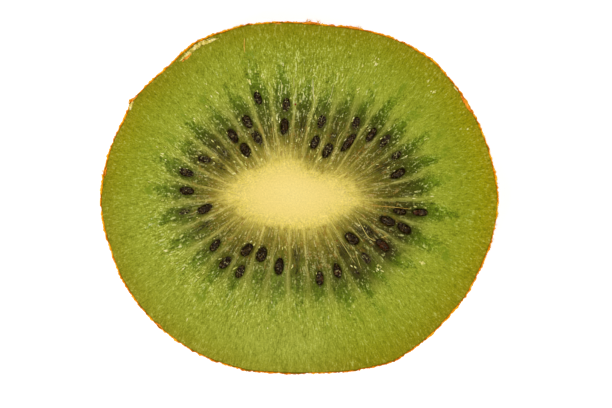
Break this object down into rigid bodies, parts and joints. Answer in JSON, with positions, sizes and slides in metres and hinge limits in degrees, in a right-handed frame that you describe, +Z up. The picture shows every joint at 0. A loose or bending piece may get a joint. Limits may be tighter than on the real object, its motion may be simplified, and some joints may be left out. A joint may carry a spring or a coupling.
{
  "type": "kiwi slice",
  "caption": "Thick round slice of ripe green kiwi fruit with pale core, seeds fanned round it and a thin fuzzy peel, lying on its cut face.",
  "frame": {"origin": "on the underside's flat cut, under the middle of the slice's box", "axes": "+Z up through the upper cut face, +X along the slice's longer way, +Y along its shorter way"},
  "size_m": [0.0518, 0.046, 0.0082],
  "materials": {
    "flesh": "wet, slightly see-through green fruit flesh",
    "core": "moist, dense, cream coloured",
    "peel": "dry, thin, brown skin with short fuzz",
    "seed": "dark brown, finely pitted, wet",
    "juice": "clear, wet"
  },
  "bodies": {
    "root": {"kiwi_slice": "flesh"}
  },
  "joints": []
}
